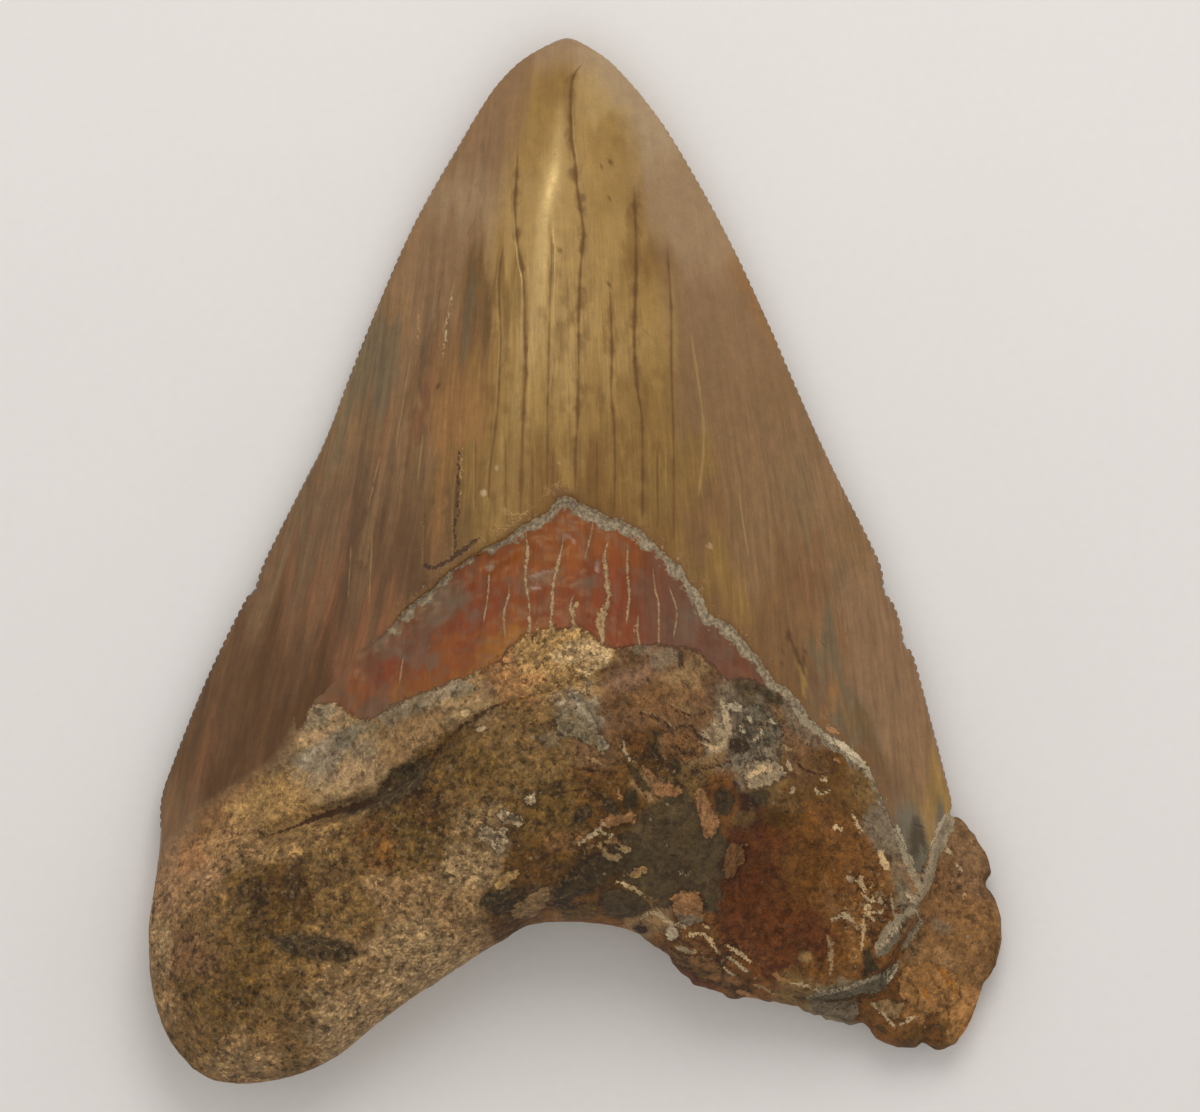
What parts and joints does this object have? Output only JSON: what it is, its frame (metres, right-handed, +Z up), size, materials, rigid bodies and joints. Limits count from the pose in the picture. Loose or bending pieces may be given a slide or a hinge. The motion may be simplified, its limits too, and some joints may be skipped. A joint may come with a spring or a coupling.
{
  "type": "fossil shark tooth",
  "caption": "Large triangular fossil megalodon tooth with serrated edges, a V-shaped bourlette and a two-lobed root chipped at one corner, lying on its labial face.",
  "frame": {"origin": "centre of the tooth's box, on the surface that the tooth lies on", "axes": "+Y from the root to the tip, +X across the tooth with its chipped root corner at +X, +Z up, out of the lingual face"},
  "size_m": [0.0852, 0.1044, 0.0228],
  "materials": {
    "fossil_tooth": "glossy tan and brown enamel, red-orange bourlette, matt grainy brown root"
  },
  "bodies": {
    "root": {"tooth": "fossil_tooth"}
  },
  "joints": []
}
